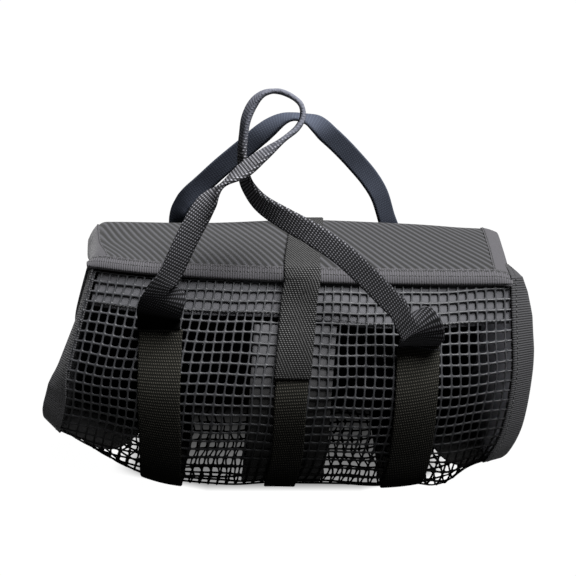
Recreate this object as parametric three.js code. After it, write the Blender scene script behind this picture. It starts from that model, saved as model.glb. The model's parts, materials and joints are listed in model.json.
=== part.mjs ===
import * as THREE from 'three';

// Soft net bag with a flap lid, three straps round it and two webbing handles.
// Sizes are millimetres: +X runs along the bag, +Y to its back and +Z up.

// Cloth, net and webbing
const NET_THICK = 1.6;
const CLOTH_THICK = 1.6;
const END_CLOTH_THICK = 1.4;
const BAND_THICK = 1.3;
const WEBBING_THICK = 1.6;
const FOLDED_THICK = 3.3;
const BINDING_THICK = 3.2;
const GAP = 0.5;

// Net of the front wall and the bottom
const NET_STRAND = 7;
const NET_GAPS_ACROSS = 11;
const NET_GAPS_ALONG = 10;
const NET_END = 0.7;

// Tape on the end seams and on the flap's edges
const FLANGE_WIDTH = 13.2;
const FLANGE_START = 1.2;
const FLANGE_STOP = 0.985;
const FLAP_TAPE = 14;
const HEM_TAPE = 11;

// Straps, bands and where they stop along the girth
const GIRTH_WIDTH = 30;
const CENTRE_WIDTH = 22;
const CLOSURE_WIDTH = 25;
const HANDLE_WIDTH = 15.5;
const TOP_BAND_HEIGHT = 22;
const CENTRE_BAND_WIDTH = 55;
const LEFT_STITCH = 0.088;
const RIGHT_STITCH = 0.149;
const BACK_STITCH = 0.925;
const FOOT_GAP = 0.008;
const CENTRE_TOP = 0.06;
const CENTRE_STOP = 0.915;
const TAIL_STOP = 0.165;

// The bottom net lies this high, so that the straps under it touch the ground
const REST = 0.8 + GAP + WEBBING_THICK;

const named = (columns, rows) => rows.map(
  (row) => Object.fromEntries(columns.map((column, i) => [column, row[i]])),
);
const point = (x, y, z) => new THREE.Vector3(x, y, z);
const curve = (points) => new THREE.CatmullRomCurve3(points, false, 'catmullrom', 0.5);

// Body sections from the left end to the right end
const SECTIONS = named(
  ['xTop', 'xBelly', 'xFoot', 'topY', 'topZ', 'bellyY', 'bellyZ', 'lowY', 'footY', 'lift',
    'backFootY', 'backBellyY', 'backTopY', 'backTopZ'],
  [
    [-136, -155, -166, -44, 153, -67, 86, -65, -62, 30, 58, 64, 58, 147],
    [-87, -88, -90, -58, 152, -94, 80, -90, -86, REST, 74, 78, 60, 151.5],
    [10, 3, -5, -61, 150, -100, 79, -94, -91, REST, 78, 80, 61, 153],
    [93, 89, 83, -60, 149, -96, 80, -92, -91, REST, 74, 78, 60, 150.5],
    [155, 160, 146, -54, 151, -71, 84, -70, -66, 13, 58, 64, 58, 145.5],
  ],
);

// Flap sections from the left edge to the right edge
const FLAP_SECTIONS = named(
  ['xBack', 'xFront', 'backY', 'backZ', 'crownZ', 'ridgeZ', 'hemY', 'hemZ'],
  [
    [-149, -139.5, 58, 147, 158, 161, -46.5, 156],
    [-88, -86, 60, 151.5, 161, 160.5, -63, 154.5],
    [16, 11, 61, 153, 160.5, 158.5, -67.5, 150.5],
    [93, 92, 60, 150.5, 159, 157, -67.5, 149],
    [164, 157, 58, 145.5, 155.5, 155, -64, 148.5],
  ],
);

// How far the tape on each end seam leans in towards the end, down the front
const LEANS = {
  left: named(['girth', 'degrees'], [
    [0, 58], [0.1, 55], [0.2, 36], [0.28, 12], [0.34, 10], [0.4, 24], [0.5, 30], [0.65, 15], [1, 0],
  ]),
  right: named(['girth', 'degrees'], [[0, 12], [0.06, 4], [0.15, 0], [1, 0]]),
};

// Front handle from its left foot to its right foot: twist turns its width from the wall to the depth,
// and goes on to a half turn, because the loop has fallen over
const FRONT_HANDLE = named(['x', 'y', 'z', 'twist', 'width', 'thick'], [
  [-87.5, -80, 131.5, 0, 30, 1.6],
  [-86, -89, 138.5, 0, 30, 1.6],
  [-83, -93, 147.5, 0, 28, 2],
  [-81.5, -95, 159, 2, 20, 2.8],
  [-76.5, -93, 169.5, 5, HANDLE_WIDTH, FOLDED_THICK],
  [-67.5, -89, 188.5, 8, HANDLE_WIDTH, FOLDED_THICK],
  [-59.5, -86, 203.5, 16, HANDLE_WIDTH, FOLDED_THICK],
  [-52, -84, 214.5, 46, HANDLE_WIDTH, FOLDED_THICK],
  [-42.5, -81, 224, 97, HANDLE_WIDTH, FOLDED_THICK],
  [-28.5, -77, 233.5, 66, HANDLE_WIDTH, FOLDED_THICK],
  [-16, -73, 242.5, 76, HANDLE_WIDTH, FOLDED_THICK],
  [-3, -69, 251.5, 97, HANDLE_WIDTH, FOLDED_THICK],
  [6.5, -65, 258.5, 95, HANDLE_WIDTH, FOLDED_THICK],
  [10.5, -61, 265.5, 90, HANDLE_WIDTH, FOLDED_THICK],
  [9.5, -58, 273, 86, HANDLE_WIDTH, FOLDED_THICK],
  [3.5, -55, 278, 80, HANDLE_WIDTH, FOLDED_THICK],
  [-5.5, -53, 281, 78, HANDLE_WIDTH, FOLDED_THICK],
  [-14.5, -53, 280, 86, HANDLE_WIDTH, FOLDED_THICK],
  [-22, -53, 273.5, 101, HANDLE_WIDTH, FOLDED_THICK],
  [-27, -54, 263.5, 105, HANDLE_WIDTH, FOLDED_THICK],
  [-29, -55, 252, 104, HANDLE_WIDTH, FOLDED_THICK],
  [-30, -57, 239, 106, HANDLE_WIDTH, FOLDED_THICK],
  [-28.5, -60, 224, 117, HANDLE_WIDTH, FOLDED_THICK],
  [-24, -64, 215, 126, HANDLE_WIDTH, FOLDED_THICK],
  [-16, -69, 207, 138, HANDLE_WIDTH, FOLDED_THICK],
  [-1.5, -77, 199.5, 154, HANDLE_WIDTH, FOLDED_THICK],
  [17, -84, 190.5, 166, HANDLE_WIDTH, FOLDED_THICK],
  [36, -89, 178.5, 172, HANDLE_WIDTH, FOLDED_THICK],
  [53, -93, 163.5, 176, HANDLE_WIDTH, FOLDED_THICK],
  [69, -96, 147.5, 178, HANDLE_WIDTH, FOLDED_THICK],
  [82, -99, 135, 180, 19, 2.8],
  [91, -102, 123.5, 180, 28, 2],
  [91, -98.5, 113.5, 180, 30, 1.6],
]);

// Back handle from its left foot to its right foot
const BACK_HANDLE = named(['x', 'y', 'z', 'twist', 'width', 'thick'], [
  [-88, 80, 136, 0, 26, 2],
  [-87.5, 74, 158.5, 34, HANDLE_WIDTH, FOLDED_THICK],
  [-82.5, 70, 170.5, 30, HANDLE_WIDTH, FOLDED_THICK],
  [-76, 67, 179, 16, HANDLE_WIDTH, FOLDED_THICK],
  [-65, 64, 189.5, 6, HANDLE_WIDTH, FOLDED_THICK],
  [-51, 60, 203, 4, HANDLE_WIDTH, FOLDED_THICK],
  [-32, 56, 219.5, 4, HANDLE_WIDTH, FOLDED_THICK],
  [-19.5, 53, 230.5, 20, HANDLE_WIDTH, FOLDED_THICK],
  [-6, 51, 240, 60, HANDLE_WIDTH, FOLDED_THICK],
  [4.5, 50, 243.5, 86, HANDLE_WIDTH, FOLDED_THICK],
  [14.5, 50, 242, 78, HANDLE_WIDTH, FOLDED_THICK],
  [23.5, 50, 238, 40, HANDLE_WIDTH, FOLDED_THICK],
  [33, 52, 229.5, 8, HANDLE_WIDTH, FOLDED_THICK],
  [43, 55, 219.5, 6, HANDLE_WIDTH, FOLDED_THICK],
  [54, 59, 207, 8, HANDLE_WIDTH, FOLDED_THICK],
  [65, 63, 193, 16, HANDLE_WIDTH, FOLDED_THICK],
  [73.5, 67, 178, 24, HANDLE_WIDTH, FOLDED_THICK],
  [80, 73, 157.5, 26, HANDLE_WIDTH, FOLDED_THICK],
  [87, 80, 136, 0, 26, 2],
]);

// Smooth surface through rows of stations
function loft(rows) {
  const across = rows[0].map((_, j) => curve(rows.map((row) => row[j])));
  return (u, v) => curve(across.map((line) => line.getPoint(u))).getPoint(v);
}

// One section of the body, from its front top edge under the bottom to its back top edge
function bodyStations(s) {
  const xLow = (2 * s.xBelly + s.xFoot) / 3;
  return [
    point(s.xTop, s.topY, s.topZ),
    point((s.xTop + s.xBelly) / 2, (s.topY + s.bellyY) / 2 - 3, (s.topZ + s.bellyZ) / 2),
    point(s.xBelly, s.bellyY, s.bellyZ),
    point(xLow, s.lowY, s.lift + 32),
    point(s.xFoot, s.footY + 6, s.lift + 5),
    point(s.xFoot, s.footY + 32, s.lift),
    point(s.xFoot, s.backFootY - 32, s.lift),
    point(s.xFoot, s.backFootY - 6, s.lift + 5),
    point(xLow, s.backFootY + 3, s.lift + 30),
    point(s.xBelly, s.backBellyY, s.bellyZ),
    point(s.xTop, s.backTopY, s.backTopZ),
  ];
}

// One section of the flap, from the back top edge to the hem
function flapStations(s) {
  return [
    point(s.xBack, s.backY, s.backZ + GAP),
    point(s.xBack, s.backY - 7, s.backZ + 7),
    point((s.xBack + s.xFront) / 2, 4, s.crownZ),
    point(s.xFront, s.hemY + 16, s.ridgeZ),
    point(s.xFront, s.hemY + 4, (s.ridgeZ + s.hemZ) / 2 + 1),
    point(s.xFront, s.hemY, s.hemZ),
  ];
}

const bodyRows = SECTIONS.map(bodyStations);
const looseBody = loft(bodyRows);
const flap = loft(FLAP_SECTIONS.map(flapStations));

// The body's middle surface, flat where the straps touch the ground
function body(u, v) {
  const p = looseBody(u, v);
  p.z = Math.max(p.z, REST);
  return p;
}

// A surface's place, directions and outward normal at one spot
function frameAt(surface, u, v) {
  const step = 0.002;
  const across = surface(Math.min(u + step, 1), v).sub(surface(Math.max(u - step, 0), v));
  const along = surface(u, Math.min(v + step, 1)).sub(surface(u, Math.max(v - step, 0)));
  across.normalize();
  along.normalize();
  return { place: surface(u, v), across, along, out: along.clone().cross(across).normalize() };
}

// Closed sheet between two offsets of a surface, with cells left open where asked
function sheet(surface, us, vs, inner, outer, open = () => false) {
  const positions = [];
  const indices = [];
  const columns = us.length;
  const level = (value, v) => (typeof value === 'function' ? value(v) : value);
  for (const v of vs) {
    for (const u of us) {
      const { place, out } = frameAt(surface, u, v);
      const low = place.clone().addScaledVector(out, level(inner, v));
      const high = place.clone().addScaledVector(out, level(outer, v));
      positions.push(...low.toArray(), ...high.toArray());
    }
  }
  const low = (i, j) => 2 * (j * columns + i);
  const high = (i, j) => low(i, j) + 1;
  const quad = (a, b, c, d) => indices.push(a, b, c, a, c, d);
  const solid = (i, j) => i >= 0 && j >= 0 && i < columns - 1 && j < vs.length - 1 && !open(i, j);
  for (let j = 0; j < vs.length - 1; j += 1) {
    for (let i = 0; i < columns - 1; i += 1) {
      if (!solid(i, j)) continue;
      quad(high(i, j), high(i, j + 1), high(i + 1, j + 1), high(i + 1, j));
      quad(low(i, j), low(i + 1, j), low(i + 1, j + 1), low(i, j + 1));
      if (!solid(i, j - 1)) quad(low(i, j), high(i, j), high(i + 1, j), low(i + 1, j));
      if (!solid(i, j + 1)) quad(low(i + 1, j + 1), high(i + 1, j + 1), high(i, j + 1), low(i, j + 1));
      if (!solid(i - 1, j)) quad(low(i, j + 1), high(i, j + 1), high(i, j), low(i, j));
      if (!solid(i + 1, j)) quad(low(i + 1, j), high(i + 1, j), high(i + 1, j + 1), low(i + 1, j + 1));
    }
  }
  return solidFrom(positions, indices);
}

// Geometry that keeps only the points its faces use
function solidFrom(positions, indices) {
  const places = new Map();
  const kept = [];
  const order = indices.map((index) => {
    if (!places.has(index)) {
      places.set(index, places.size);
      kept.push(...positions.slice(3 * index, 3 * index + 3));
    }
    return places.get(index);
  });
  const geometry = new THREE.BufferGeometry();
  geometry.setAttribute('position', new THREE.Float32BufferAttribute(kept, 3));
  geometry.setIndex(order);
  geometry.computeVertexNormals();
  return geometry;
}

// Evenly spaced values from one end to the other
function spaced(from, to, cells) {
  return Array.from({ length: cells + 1 }, (_, i) => from + ((to - from) * i) / cells);
}

// Straight reading between the rows of a two-column table
function reading(rows, girth) {
  const next = Math.max(1, rows.findIndex((row) => row.girth >= girth));
  const [a, b] = [rows[next - 1], rows[next]];
  return THREE.MathUtils.mapLinear(girth, a.girth, b.girth, a.degrees, b.degrees);
}

// Lengths along the belly and round the middle of the bag, as surface readings
const bellyLine = curve(bodyRows.map((row) => row[2]));
const girthLine = curve(SECTIONS.map(bodyStations)[2]);
const bellyLength = bellyLine.getLength();
const girthLength = girthLine.getLength();
const acrossAt = (length) => bellyLine.getUtoTmapping(length / bellyLength);
const girthAt = (length) => girthLine.getUtoTmapping(length / girthLength);
const girthLengthTo = (v) => {
  const lengths = girthLine.getLengths(400);
  return lengths[Math.round(v * 400)];
};

// Strand and gap lines of the net over one length
function netLines(start, stop, gaps) {
  const pitch = (stop - start - NET_STRAND) / gaps;
  const lines = [];
  const gapCells = [];
  for (let k = 0; k < gaps; k += 1) {
    const at = start + k * pitch;
    lines.push(at, at + NET_STRAND, at + (NET_STRAND + pitch) / 2);
    gapCells.push(false, true, true);
  }
  lines.push(stop - NET_STRAND, stop);
  gapCells.push(false);
  return { lines, gapCells };
}

const netAcross = netLines(GAP, bellyLength - GAP, NET_GAPS_ACROSS);
const netAlong = netLines(0, girthLengthTo(NET_END), NET_GAPS_ALONG);
const netUs = netAcross.lines.map(acrossAt);
const netVs = netAlong.lines.map(girthAt);
const backVs = spaced(girthLengthTo(NET_END) + GAP, girthLength, 9).map(girthAt);
const girthVs = [...netVs, ...backVs];

// Girth lines of a strap or band between two stops
function runLines(from, to) {
  return [from, ...girthVs.filter((v) => v > from + 0.006 && v < to - 0.006), to];
}

// Strip of even width that lies on the body along one line
function bodyStrip(centre, width) {
  return (s, v) => {
    const step = 0.004;
    const size = body(centre + step, v).distanceTo(body(centre - step, v)) / (2 * step);
    return body(centre + ((s - 0.5) * width) / size, v);
  };
}

// End panel that fills the seam at one end, just inside the net
function endSurface(end) {
  const inset = 2.2;
  const [frontStop, backStop] = [0.42, 0.68];
  const u = end === 'left' ? acrossAt(inset) : acrossAt(bellyLength - inset);
  const edge = (v) => {
    const { place, out } = frameAt(body, u, v);
    return place.addScaledVector(out, -2.1);
  };
  const front = (t) => edge(t * frontStop);
  const back = (t) => edge(1 - t * (1 - backStop));
  const foot = (s) => edge(frontStop + s * (backStop - frontStop));
  const top = (s) => edge(0).lerp(edge(1), s);
  return (s, t) => {
    const sides = front(t).lerp(back(t), s);
    const ends = top(s).lerp(foot(s), t);
    const corners = top(0).lerp(top(1), s).lerp(foot(0).lerp(foot(1), s), t);
    return sides.add(ends).sub(corners);
  };
}

// Tape that stands out from one end seam and leans as the table says
function flangeSurface(end) {
  const u = end === 'left' ? 0 : 1;
  const sign = end === 'left' ? -1 : 1;
  return (s, v) => {
    const { place, across, out } = frameAt(body, u, v);
    const lean = THREE.MathUtils.degToRad(reading(LEANS[end], v));
    const reach = FLANGE_START + s * FLANGE_WIDTH;
    place.addScaledVector(across, sign * Math.cos(lean) * reach);
    return place.addScaledVector(out, -Math.sin(lean) * reach);
  };
}

// Ribbon of webbing along a line, its width turned from the wall to the depth by the twist
function ribbonSurface(rows) {
  const line = curve(rows.map((row) => point(row.x, row.y, row.z)));
  const shape = curve(rows.map((row) => point(row.twist, row.width, row.thick)));
  const depth = point(0, 1, 0);
  const surface = (s, v) => {
    const ahead = line.getTangent(v);
    const side = ahead.clone().cross(depth).normalize();
    const { x: twist, y: width } = shape.getPoint(v);
    const turn = THREE.MathUtils.degToRad(twist);
    const reach = (s - 0.5) * width;
    return line.getPoint(v)
      .addScaledVector(side, Math.cos(turn) * reach)
      .addScaledVector(depth, Math.sin(turn) * reach);
  };
  const half = (v) => shape.getPoint(v).z / 2;
  return { surface, half };
}

// Row of a handle's table where it meets the end of a girth strap on the wall
function footRow(u, v, away, turn = 0) {
  const { place, across, out } = frameAt(body, u, v);
  place.addScaledVector(out, NET_THICK / 2 + GAP + WEBBING_THICK / 2 + away);
  const slope = Math.sign(u - 0.5) * Math.atan2(across.y, across.x);
  const twist = turn + THREE.MathUtils.radToDeg(slope);
  return { x: place.x, y: place.y, z: place.z, twist, width: GIRTH_WIDTH, thick: WEBBING_THICK };
}

// Handle with its feet on the wall and the free part of its table between them, turned over by the last twist
function handle(rows, left, right, step) {
  const turn = rows.at(-1).twist;
  const feet = [footRow(0.25, left, 0), footRow(0.25, left + step, 1.2)];
  const ends = [footRow(0.75, right + step, 1.2, turn), footRow(0.75, right, 0, turn)];
  const { surface, half } = ribbonSurface([...feet, ...rows, ...ends]);
  const lines = spaced(0, 1, 2 * (rows.length + 3));
  return sheet(surface, [0, 1], lines, (v) => -half(v), half);
}

// Closure strap: from the back wall over the flap and down the front to its free tail
function closure() {
  const flapAway = BINDING_THICK / 2 + 2 * GAP + WEBBING_THICK / 2;
  const backAway = CLOTH_THICK / 2 + GAP + WEBBING_THICK / 2;
  const frontAway = NET_THICK / 2 + 2 * GAP + 1.5 * WEBBING_THICK;
  const lifted = (surface, u, v, away) => {
    const { place, out } = frameAt(surface, u, v);
    return place.addScaledVector(out, away);
  };
  const backRun = [CENTRE_STOP + 0.007, 0.945, 0.97].map((v) => lifted(body, 0.515, v, backAway));
  const flapRun = [0.03, 0.12, 0.25, 0.4, 0.55, 0.7, 0.82, 0.92, 0.99].map(
    (v) => lifted(flap, 0.5, v, flapAway),
  );
  const frontRun = [0.03, 0.06, 0.095, 0.13, TAIL_STOP].map((v) => lifted(body, 0.5, v, frontAway));
  const line = curve([...backRun, ...flapRun, ...frontRun]);
  const surface = (s, v) => line.getPoint(v).add(point((s - 0.5) * CLOSURE_WIDTH, 0, 0));
  return sheet(surface, [0, 1], spaced(0, 1, 48), -WEBBING_THICK / 2, WEBBING_THICK / 2);
}

// Flap lines: cloth inside the tape, tape round three edges
const ridgeLine = curve(FLAP_SECTIONS.map(flapStations).map((row) => row[2]));
const ridgeLength = ridgeLine.getLength();
const flapUAt = (length) => ridgeLine.getUtoTmapping(length / ridgeLength);
const foldLine = curve(flapStations(FLAP_SECTIONS[2]));
const foldLength = foldLine.getLength();
const flapVAt = (length) => foldLine.getUtoTmapping(length / foldLength);
const clothUs = spaced(FLAP_TAPE + GAP, ridgeLength - FLAP_TAPE - GAP, 14).map(flapUAt);
const clothVs = spaced(0, foldLength - HEM_TAPE - GAP, 12).map(flapVAt);
const tapeUs = [0, ...spaced(FLAP_TAPE, ridgeLength - FLAP_TAPE, 14).map(flapUAt), 1];
const tapeVs = [...spaced(0, foldLength - HEM_TAPE, 12).map(flapVAt), 1];
const insideTape = (i, j) => i > 0 && i < tapeUs.length - 2 && j < tapeVs.length - 2;

// Offsets from the middle of the net to each layer
const strapLow = NET_THICK / 2 + GAP;
const strapHigh = strapLow + WEBBING_THICK;
const bandHigh = -NET_THICK / 2 - GAP;
const bandLow = bandHigh - BAND_THICK;
const topBandStop = girthAt(TOP_BAND_HEIGHT);
const bandUs = spaced(8, bellyLength - 8, 16).map(acrossAt);
const endLines = (cells) => [spaced(0, 1, 6), spaced(0, 1, cells)];
const [endUs, endVs] = endLines(8);
const flangeVs = spaced(0, FLANGE_STOP, 30);
const openNet = (i, j) => netAcross.gapCells[i] && netAlong.gapCells[j];
const girthRun = (u, stop) => sheet(
  bodyStrip(u, GIRTH_WIDTH), spaced(0, 1, 4), runLines(stop, BACK_STITCH), strapLow, strapHigh,
);

// Colours and surfaces
const NET_LOOK = { color: 0x5c5e60, roughness: 0.55 };
const TWILL_LOOK = { color: 0x66686b, roughness: 0.85 };
const TAPE_LOOK = { color: 0x606265, roughness: 0.9 };
const LINING_LOOK = { color: 0x7a7c7f, roughness: 0.9 };
const WEBBING_LOOK = { color: 0x4c4d4e, roughness: 0.8 };

const PIECES = {
  net_panel: [sheet(body, netUs, netVs, -NET_THICK / 2, NET_THICK / 2, openNet), NET_LOOK],
  back_panel: [
    sheet(body, spaced(GAP, bellyLength - GAP, 14).map(acrossAt), backVs, -CLOTH_THICK / 2, CLOTH_THICK / 2),
    TWILL_LOOK,
  ],
  flap_panel: [sheet(flap, clothUs, clothVs, -CLOTH_THICK / 2, CLOTH_THICK / 2), TWILL_LOOK],
  flap_binding: [
    sheet(flap, tapeUs, tapeVs, -BINDING_THICK / 2, BINDING_THICK / 2, insideTape), TAPE_LOOK,
  ],
  end_panel_left: [
    sheet(endSurface('left'), endUs, endVs, -END_CLOTH_THICK / 2, END_CLOTH_THICK / 2), TWILL_LOOK,
  ],
  end_panel_right: [
    sheet(endSurface('right'), endUs, endVs, -END_CLOTH_THICK / 2, END_CLOTH_THICK / 2), TWILL_LOOK,
  ],
  end_binding_left: [
    sheet(flangeSurface('left'), [0, 1], flangeVs, -BINDING_THICK / 2, BINDING_THICK / 2), TAPE_LOOK,
  ],
  end_binding_right: [
    sheet(flangeSurface('right'), [0, 1], flangeVs, -BINDING_THICK / 2, BINDING_THICK / 2), TAPE_LOOK,
  ],
  inner_top_band: [sheet(body, bandUs, [0, topBandStop], bandLow, bandHigh), LINING_LOOK],
  inner_centre_band: [
    sheet(
      bodyStrip(0.5, CENTRE_BAND_WIDTH), spaced(0, 1, 4), runLines(topBandStop + 0.004, 0.64),
      bandLow, bandHigh,
    ),
    LINING_LOOK,
  ],
  girth_strap_left: [girthRun(0.25, LEFT_STITCH), WEBBING_LOOK],
  girth_strap_right: [girthRun(0.75, RIGHT_STITCH), WEBBING_LOOK],
  centre_strap: [
    sheet(
      bodyStrip(0.5, CENTRE_WIDTH), [0, 0.5, 1], runLines(CENTRE_TOP, CENTRE_STOP), strapLow, strapHigh,
    ),
    WEBBING_LOOK,
  ],
  closure_strap: [closure(), WEBBING_LOOK],
  front_handle: [
    handle(FRONT_HANDLE, LEFT_STITCH - FOOT_GAP, RIGHT_STITCH - FOOT_GAP, -0.008), WEBBING_LOOK,
  ],
  back_handle: [handle(BACK_HANDLE, BACK_STITCH + FOOT_GAP, BACK_STITCH + FOOT_GAP, 0.012), WEBBING_LOOK],
};

const group = new THREE.Group();
group.name = 'fishing_jig_bag';
for (const [name, [geometry, look]] of Object.entries(PIECES)) {
  const mesh = new THREE.Mesh(geometry, new THREE.MeshStandardMaterial({ ...look, metalness: 0 }));
  mesh.name = name;
  group.add(mesh);
}

// The origin is the middle of the bag's outline on the ground
const box = new THREE.Box3().setFromObject(group);
const middle = box.getCenter(point(0, 0, 0));
for (const mesh of group.children) {
  mesh.geometry.translate(-middle.x, -middle.y, -box.min.z);
}

export default group;
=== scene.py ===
# %% [markdown]
# # A fishing jig bag
# A soft bag of dark net and twill, with a flap lid, webbing straps round it and two webbing handles.
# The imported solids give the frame: each piece here takes the place of one of them, in the same metres,
# and shows what a plain solid can't, such as the net's strands, the twill's ribs and the folded webbing.

# %% Load the frame
import json
import math

import bpy
import numpy as np
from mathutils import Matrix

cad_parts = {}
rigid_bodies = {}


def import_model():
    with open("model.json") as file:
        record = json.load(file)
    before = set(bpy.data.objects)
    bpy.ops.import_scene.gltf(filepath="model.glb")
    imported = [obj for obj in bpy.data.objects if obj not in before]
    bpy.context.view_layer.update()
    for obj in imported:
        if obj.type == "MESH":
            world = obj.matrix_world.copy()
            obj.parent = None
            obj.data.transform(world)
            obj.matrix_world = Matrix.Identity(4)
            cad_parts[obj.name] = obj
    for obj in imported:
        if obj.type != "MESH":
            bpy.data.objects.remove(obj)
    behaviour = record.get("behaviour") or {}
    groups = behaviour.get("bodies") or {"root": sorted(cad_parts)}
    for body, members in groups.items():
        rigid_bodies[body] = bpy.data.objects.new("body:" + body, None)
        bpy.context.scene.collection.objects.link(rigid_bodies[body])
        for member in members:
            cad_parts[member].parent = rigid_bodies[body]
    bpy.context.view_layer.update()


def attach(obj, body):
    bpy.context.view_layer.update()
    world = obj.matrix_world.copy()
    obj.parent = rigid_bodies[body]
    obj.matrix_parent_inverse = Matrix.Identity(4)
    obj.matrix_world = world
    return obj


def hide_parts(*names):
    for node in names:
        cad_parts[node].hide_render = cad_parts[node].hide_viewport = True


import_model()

MM = 0.001

# %% [markdown]
# ## Camera
# The bag is seen straight on and from 19.5 degrees above, 0.9 m away, with a short telephoto.
# The sensor is square like the picture, so the focal length follows from 1203 pixels in 576.

# %% Camera
TARGET = np.array([0.0033, 0.009, 0.124])
DISTANCE = 0.9
LOOK_DOWN = math.radians(19.5)
SENSOR_MM, FOCAL_PIXELS, PICTURE_PIXELS = 36, 1203, 576
camera = bpy.data.objects.new("camera", bpy.data.cameras.new("camera"))
camera.data.sensor_width = SENSOR_MM
camera.data.lens = SENSOR_MM * FOCAL_PIXELS / PICTURE_PIXELS
camera.location = TARGET + DISTANCE * np.array([0, -math.cos(LOOK_DOWN), math.sin(LOOK_DOWN)])
camera.rotation_euler = (math.pi / 2 - LOOK_DOWN, 0, 0)
bpy.context.collection.objects.link(camera)
bpy.context.scene.camera = camera
print("camera at", [round(x, 3) for x in camera.location], "lens", round(camera.data.lens, 1), "mm")

# %% [markdown]
# ## Colours and nodes
# Colours are written as the hex values that a screen shows, and one function makes them linear.
# One more function adds a shader node, sets it and links it, so that each material reads as a list.

# %% Colour and node helpers
def colour(code):
    """Screen value c from 0 to 1 becomes ((c + 0.055) / 1.055) to the power 2.4, or c / 12.92 near black."""
    c = np.array([int(code[i:i + 2], 16) for i in (1, 3, 5)]) / 255
    return (*np.where(c < 0.04045, c / 12.92, ((c + 0.055) / 1.055) ** 2.4), 1.0)


def add(tree, kind, inputs=None, **settings):
    """Adds a shader node; each input is a value, a hex colour, or a node or output to link."""
    node = tree.nodes.new("ShaderNode" + kind)
    for name, value in settings.items():
        setattr(node, name, value)
    for socket, value in (inputs or {}).items():
        if isinstance(value, bpy.types.Node):
            value = value.outputs[0]
        if isinstance(value, bpy.types.NodeSocket):
            tree.links.new(value, node.inputs[socket])
        else:
            node.inputs[socket].default_value = colour(value) if isinstance(value, str) else value
    return node


def new_material(name):
    """A material with an empty node tree."""
    material = bpy.data.materials.new(name)
    material.use_nodes = True
    material.node_tree.nodes.clear()
    print("material:", name)
    return material, material.node_tree


def end_material(tree, tone, bumps, roughness, gleam, extra=None):
    """Ends a node list: bumps is a height, its depth in m and its strength, and gleam the specular level."""
    bump = add(tree, "Bump", dict(zip(("Height", "Distance", "Strength"), bumps)))
    shader = add(tree, "BsdfPrincipled", {
        "Base Color": tone.outputs[2], "Normal": bump, "Roughness": roughness, "Specular IOR Level": gleam,
        **(extra or {})})
    add(tree, "OutputMaterial", {0: shader})


# %% [markdown]
# ## Floor
# A dark bag is best shot on a pale sheet lit from below, like a light table. Under the bag a painted shadow
# dims the glow: from just behind its front edge, more towards the back, and less to the ends.
# Ramps of the floor's own coordinates draw this, which looks the same from every side.

# %% Floor
paper, tree = new_material("pale acrylic light table, matt")
place = add(tree, "TexCoord")
axes = add(tree, "SeparateXYZ", {0: place.outputs["Object"]})
aside = add(tree, "Math", {0: axes.outputs[0]}, operation="ABSOLUTE")
# painted shadow under the bag: the patch's strength is a product of ramps, over metres from the middle and
# from front to back
inside = add(tree, "MapRange", {0: aside, 1: 0.09, 2: 0.13, 3: 1.0, 4: 0.0}, interpolation_type="SMOOTHSTEP")
drawn_in = add(tree, "MapRange", {0: aside, 1: 0.055, 2: 0.135, 3: 0.0, 4: 0.03})
inward = add(tree, "Math", {0: axes.outputs[1], 1: drawn_in}, operation="SUBTRACT")
behind = add(tree, "MapRange", {0: inward, 1: -0.076, 2: -0.066})
deeper = add(tree, "MapRange", {0: axes.outputs[1], 1: -0.08, 2: 0.07, 3: 0.36, 4: 1.0})
before = add(tree, "MapRange", {0: axes.outputs[1], 1: 0.083, 2: 0.093, 3: 1.0, 4: 0.0})
under = inside
for ramp in (behind, deeper, before):
    under = add(tree, "Math", {0: under, 1: ramp}, operation="MULTIPLY")
# what the painted shadow leaves of the glow
outside_painted_shadow = add(tree, "MapRange", {0: under, 3: 1.0, 4: 0.0})
glow_less_painted_shadow = add(tree, "Math", {0: outside_painted_shadow, 1: 2.0}, operation="POWER")
# the sheet's grain is about 1 mm
grain = add(tree, "TexNoise", {"Vector": place.outputs["Object"], "Scale": 900.0, "Detail": 3.0})
tone = add(tree, "Mix", {0: grain, 6: "#040404", 7: "#060606"}, data_type="RGBA")
shader = add(tree, "BsdfPrincipled", {
    "Base Color": tone.outputs[2], "Roughness": 0.9, "Specular IOR Level": 0.0,
    "Emission Color": "#ffffff", "Emission Strength": glow_less_painted_shadow})
add(tree, "OutputMaterial", {0: shader})
FLOOR_HALF, FLOOR_DROP = 6.0, 0.0002
floor_mesh = bpy.data.meshes.new("floor")
corners = FLOOR_HALF * np.array([[-1, -1, 0], [1, -1, 0], [1, 1, 0], [-1, 1, 0]]) - [0, 0, FLOOR_DROP]
floor_mesh.from_pydata(corners.tolist(), [], [[0, 1, 2, 3]])
floor_mesh.materials.append(paper)
floor = bpy.data.objects.new("floor", floor_mesh)
bpy.context.collection.objects.link(floor)
print("floor", 2 * FLOOR_HALF, "m wide")

# %% [markdown]
# ## Light
# One broad soft light stands high up, a little in front and to one side, with a weak even fill. The upper
# cloth is bright, and the lower wall, which leans under, stays dark.

# %% Light
lamp = bpy.data.lights.new("overhead softbox", "SUN")
lamp.energy = 42.0
lamp.angle = math.radians(38)
softbox = bpy.data.objects.new("overhead softbox", lamp)
softbox.rotation_euler = (math.radians(11), math.radians(20), 0)
bpy.context.collection.objects.link(softbox)
world = bpy.data.worlds.new("studio")
bpy.context.scene.world = world
world.use_nodes = True
fill = world.node_tree.nodes["Background"]
fill.inputs["Color"].default_value = colour("#ffffff")
fill.inputs["Strength"].default_value = 0.06
bpy.context.scene.view_settings.view_transform = "Standard"
print("light of", lamp.energy)

# %% [markdown]
# ## Smooth surfaces from short tables
# The body and the flap are drawn through a few sections, as a sail or a hull is. Each section is a row of
# points, and a Catmull-Rom cubic passes through them in both directions. It is simple, it passes through
# every point, and numpy reads it for a whole grid at once.

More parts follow.
